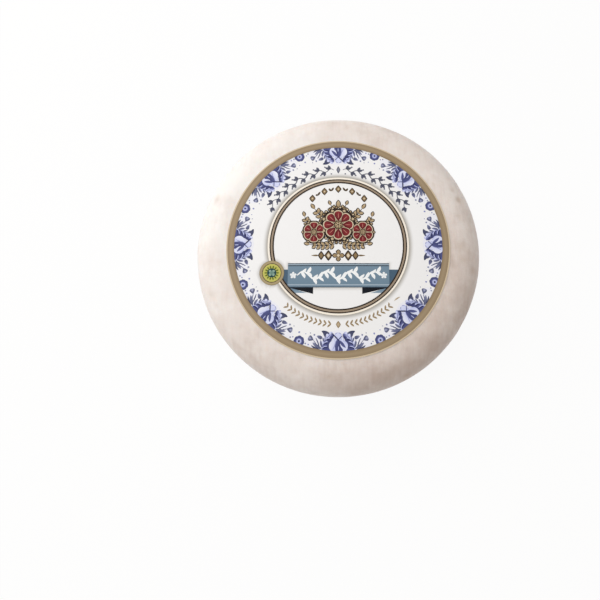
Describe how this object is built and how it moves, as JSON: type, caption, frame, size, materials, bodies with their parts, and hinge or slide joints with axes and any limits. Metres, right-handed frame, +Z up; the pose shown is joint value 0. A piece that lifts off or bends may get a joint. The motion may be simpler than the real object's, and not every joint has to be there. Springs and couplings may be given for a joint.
{
  "type": "goat cheese wheel",
  "caption": "Whole round wheel of white-rinded goat cheese with rounded shoulders, lying flat, with a large round floral paper label on its upper face.",
  "frame": {"origin": "centre of the flat underside that the wheel rests on", "axes": "+Z up along the wheel's axis, out of the labelled face; +Y towards the top of the label's artwork; +X to the label's right"},
  "size_m": [0.26, 0.26, 0.0883],
  "materials": {
    "rind": "satin",
    "label_paper": "satin"
  },
  "bodies": {
    "root": {"cheese": "rind", "label": "label_paper"}
  },
  "joints": []
}
